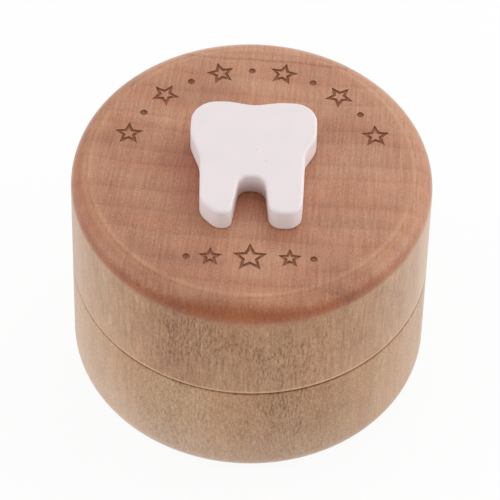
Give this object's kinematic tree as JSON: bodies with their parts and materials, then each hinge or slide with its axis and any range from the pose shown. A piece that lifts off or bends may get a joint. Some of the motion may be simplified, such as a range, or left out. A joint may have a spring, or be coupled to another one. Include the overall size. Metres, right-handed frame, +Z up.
{
  "type": "baby tooth box",
  "caption": "Small round turned wooden keepsake box for baby teeth, with a lift-off lid on a spigot and a white tooth-shaped ornament glued on top.",
  "frame": {"origin": "centre of the box's flat underside", "axes": "+Z up along the turning axis, -Y towards the tooth's roots, +X to the viewer's right with the roots in front"},
  "size_m": [0.05, 0.05, 0.0398],
  "materials": {
    "base_wood": "sanded, unvarnished",
    "lid_wood": "sanded, unvarnished",
    "tooth_paint": "white matt paint on wood",
    "dried_glue": "dried wood glue"
  },
  "bodies": {
    "base": {"base": "base_wood"},
    "lid": {"lid": "lid_wood", "tooth": "tooth_paint", "tooth_glue_film": "dried_glue"}
  },
  "joints": [
    {"name": "lid_lift", "type": "slide", "parent": "base", "child": "lid", "axis": [0, 0, 1], "range_m": [0, 0.06]}
  ]
}
